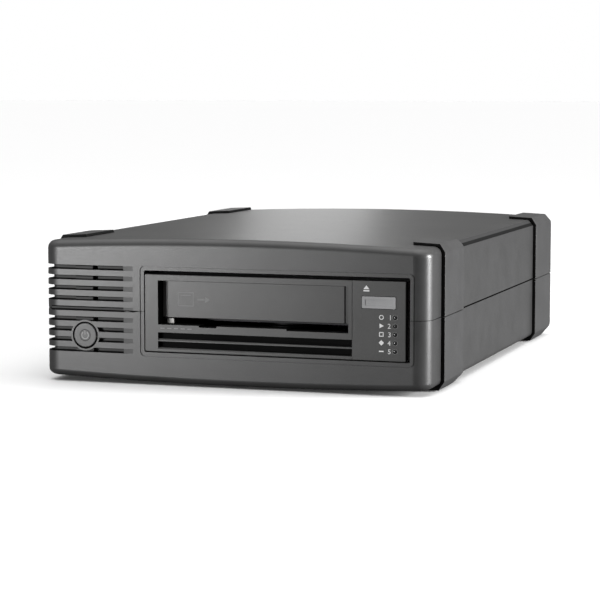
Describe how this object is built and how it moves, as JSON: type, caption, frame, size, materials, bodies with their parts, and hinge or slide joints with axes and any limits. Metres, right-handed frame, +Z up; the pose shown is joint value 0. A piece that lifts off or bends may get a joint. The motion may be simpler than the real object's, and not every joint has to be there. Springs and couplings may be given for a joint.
{
  "type": "data tape drive",
  "caption": "Desktop tape drive for data cartridges: crowned charcoal case with corner guards, front grille, power button and a half-height drive with door, eject button and lights.",
  "frame": {"origin": "centre of the object's box on the surface it stands on", "axes": "+X to the right seen from the front, +Y from the front to the rear, +Z up"},
  "size_m": [0.223, 0.301, 0.0798],
  "materials": {
    "case_shell": "fine-grained charcoal moulding",
    "case_guard": "fine-grained charcoal moulding",
    "black_trim": "smooth black",
    "foot_rubber": "dull",
    "screw_steel": "zinc plated",
    "sheet_steel": "zinc plated sheet",
    "black_plastic": "lightly textured",
    "contact_brass": "bright",
    "board_green": "solder mask",
    "part_mix": "mixed components",
    "sleeve": "braided",
    "cast_alloy": "die cast",
    "machined_alloy": "machined",
    "spring_steel": "bright",
    "door_black": "satin",
    "button_silver": "satin light grey",
    "lens_clear": "unlit, clear grey",
    "white_plastic": "plain",
    "head_ferrite": "polished"
  },
  "bodies": {
    "case": {"upper_shell": "case_shell", "lower_shell": "case_shell", "upper_corner_guards": "case_guard", "lower_corner_guards": "case_guard", "edge_trims": "black_trim", "rubber_feet": "foot_rubber", "shell_screws": "screw_steel", "rear_panel": "sheet_steel", "panel_screws": "screw_steel", "power_inlet": "black_plastic", "inlet_pins": "contact_brass", "fan_frame": "black_plastic", "button_collar": "case_shell", "button_spring": "spring_steel", "switch_board": "board_green", "supply_case": "sheet_steel", "supply_board": "board_green", "supply_parts": "part_mix", "power_harness": "sleeve", "faceplate": "black_plastic", "door_spring": "spring_steel", "eject_spring": "spring_steel", "led_lenses": "lens_clear", "panel_board": "board_green", "drive_base": "cast_alloy", "drive_cover": "sheet_steel", "drive_brackets": "sheet_steel", "drive_screws": "screw_steel", "loader_motor": "machined_alloy", "head_base": "machined_alloy", "head_motor": "machined_alloy", "leader_block": "black_plastic", "main_board": "board_green", "drive_cable": "sleeve", "interface_board": "board_green", "data_ports": "screw_steel", "hub_motor": "machined_alloy", "takeup_motor": "machined_alloy"},
    "power_button": {"power_button": "case_shell"},
    "eject_button": {"eject_button": "button_silver"},
    "door": {"cartridge_door": "door_black"},
    "loader": {"loader_frame": "sheet_steel"},
    "tray": {"cartridge_tray": "sheet_steel"},
    "loader_gear": {"loader_gear": "white_plastic"},
    "drive_hub": {"drive_hub": "machined_alloy"},
    "takeup_reel": {"takeup_reel": "white_plastic"},
    "head": {"head_carriage": "machined_alloy", "tape_head": "head_ferrite"},
    "lead_screw": {"lead_screw": "screw_steel"},
    "fan": {"fan_rotor": "black_plastic"},
    "roller_1": {"guide_roller_1": "machined_alloy"},
    "roller_2": {"guide_roller_2": "machined_alloy"},
    "roller_3": {"guide_roller_3": "machined_alloy"},
    "roller_4": {"guide_roller_4": "machined_alloy"}
  },
  "joints": [
    {"name": "power_button_press", "type": "slide", "parent": "case", "child": "power_button", "axis": [0, 1, 0], "range_m": [0, 0.0012], "stiffness_N_per_m": 500, "deforming": ["button_spring"]},
    {"name": "eject_button_press", "type": "slide", "parent": "case", "child": "eject_button", "axis": [0, 1, 0], "range_m": [0, 0.001], "stiffness_N_per_m": 400, "deforming": ["eject_spring"]},
    {"name": "door_swing", "type": "hinge", "parent": "case", "child": "door", "pos_m": [0.012, -0.14335, 0.058], "axis": [1, 0, 0], "range_deg": [0, 86], "stiffness_Nm_per_rad": 0.004, "springref_deg": -11.46},
    {"name": "loader_travel", "type": "slide", "parent": "case", "child": "loader", "axis": [0, 1, 0], "range_m": [0, 0.012]},
    {"name": "tray_drop", "type": "slide", "parent": "loader", "child": "tray", "axis": [0, 0, -1], "range_m": [0, 0.0045]},
    {"name": "loader_gear_spin", "type": "hinge", "parent": "case", "child": "loader_gear", "pos_m": [0.0797, -0.07815, 0.038], "axis": [0, 0, 1], "range_deg": [-80, 0]},
    {"name": "drive_hub_spin", "type": "hinge", "parent": "case", "child": "drive_hub", "pos_m": [0.012, -0.07855, 0.03], "axis": [0, 0, 1], "continuous": true},
    {"name": "takeup_reel_spin", "type": "hinge", "parent": "case", "child": "takeup_reel", "pos_m": [0.018, 0.01485, 0.041], "axis": [0, 0, 1], "continuous": true},
    {"name": "head_travel", "type": "slide", "parent": "case", "child": "head", "axis": [0, 0, 1], "range_m": [-0.0035, 0.0035]},
    {"name": "lead_screw_spin", "type": "hinge", "parent": "case", "child": "lead_screw", "pos_m": [-0.028, -0.00515, 0.04], "axis": [0, 0, 1], "range_deg": [-1100, 1100]},
    {"name": "fan_spin", "type": "hinge", "parent": "case", "child": "fan", "pos_m": [-0.012, 0.13635, 0.04], "axis": [0, 1, 0], "continuous": true},
    {"name": "guide_roller_1_spin", "type": "hinge", "parent": "case", "child": "roller_1", "pos_m": [-0.038, -0.02215, 0.041], "axis": [0, 0, 1], "continuous": true},
    {"name": "guide_roller_2_spin", "type": "hinge", "parent": "case", "child": "roller_2", "pos_m": [-0.0415, -0.01235, 0.041], "axis": [0, 0, 1], "continuous": true},
    {"name": "guide_roller_3_spin", "type": "hinge", "parent": "case", "child": "roller_3", "pos_m": [-0.0415, 0.00205, 0.041], "axis": [0, 0, 1], "continuous": true},
    {"name": "guide_roller_4_spin", "type": "hinge", "parent": "case", "child": "roller_4", "pos_m": [-0.037, 0.01185, 0.041], "axis": [0, 0, 1], "continuous": true}
  ],
  "couplings": [
    {"joint": "loader_gear_spin", "follows": "loader_travel", "rad_per_m": -111.11},
    {"joint": "lead_screw_spin", "follows": "head_travel", "rad_per_m": 5236}
  ]
}
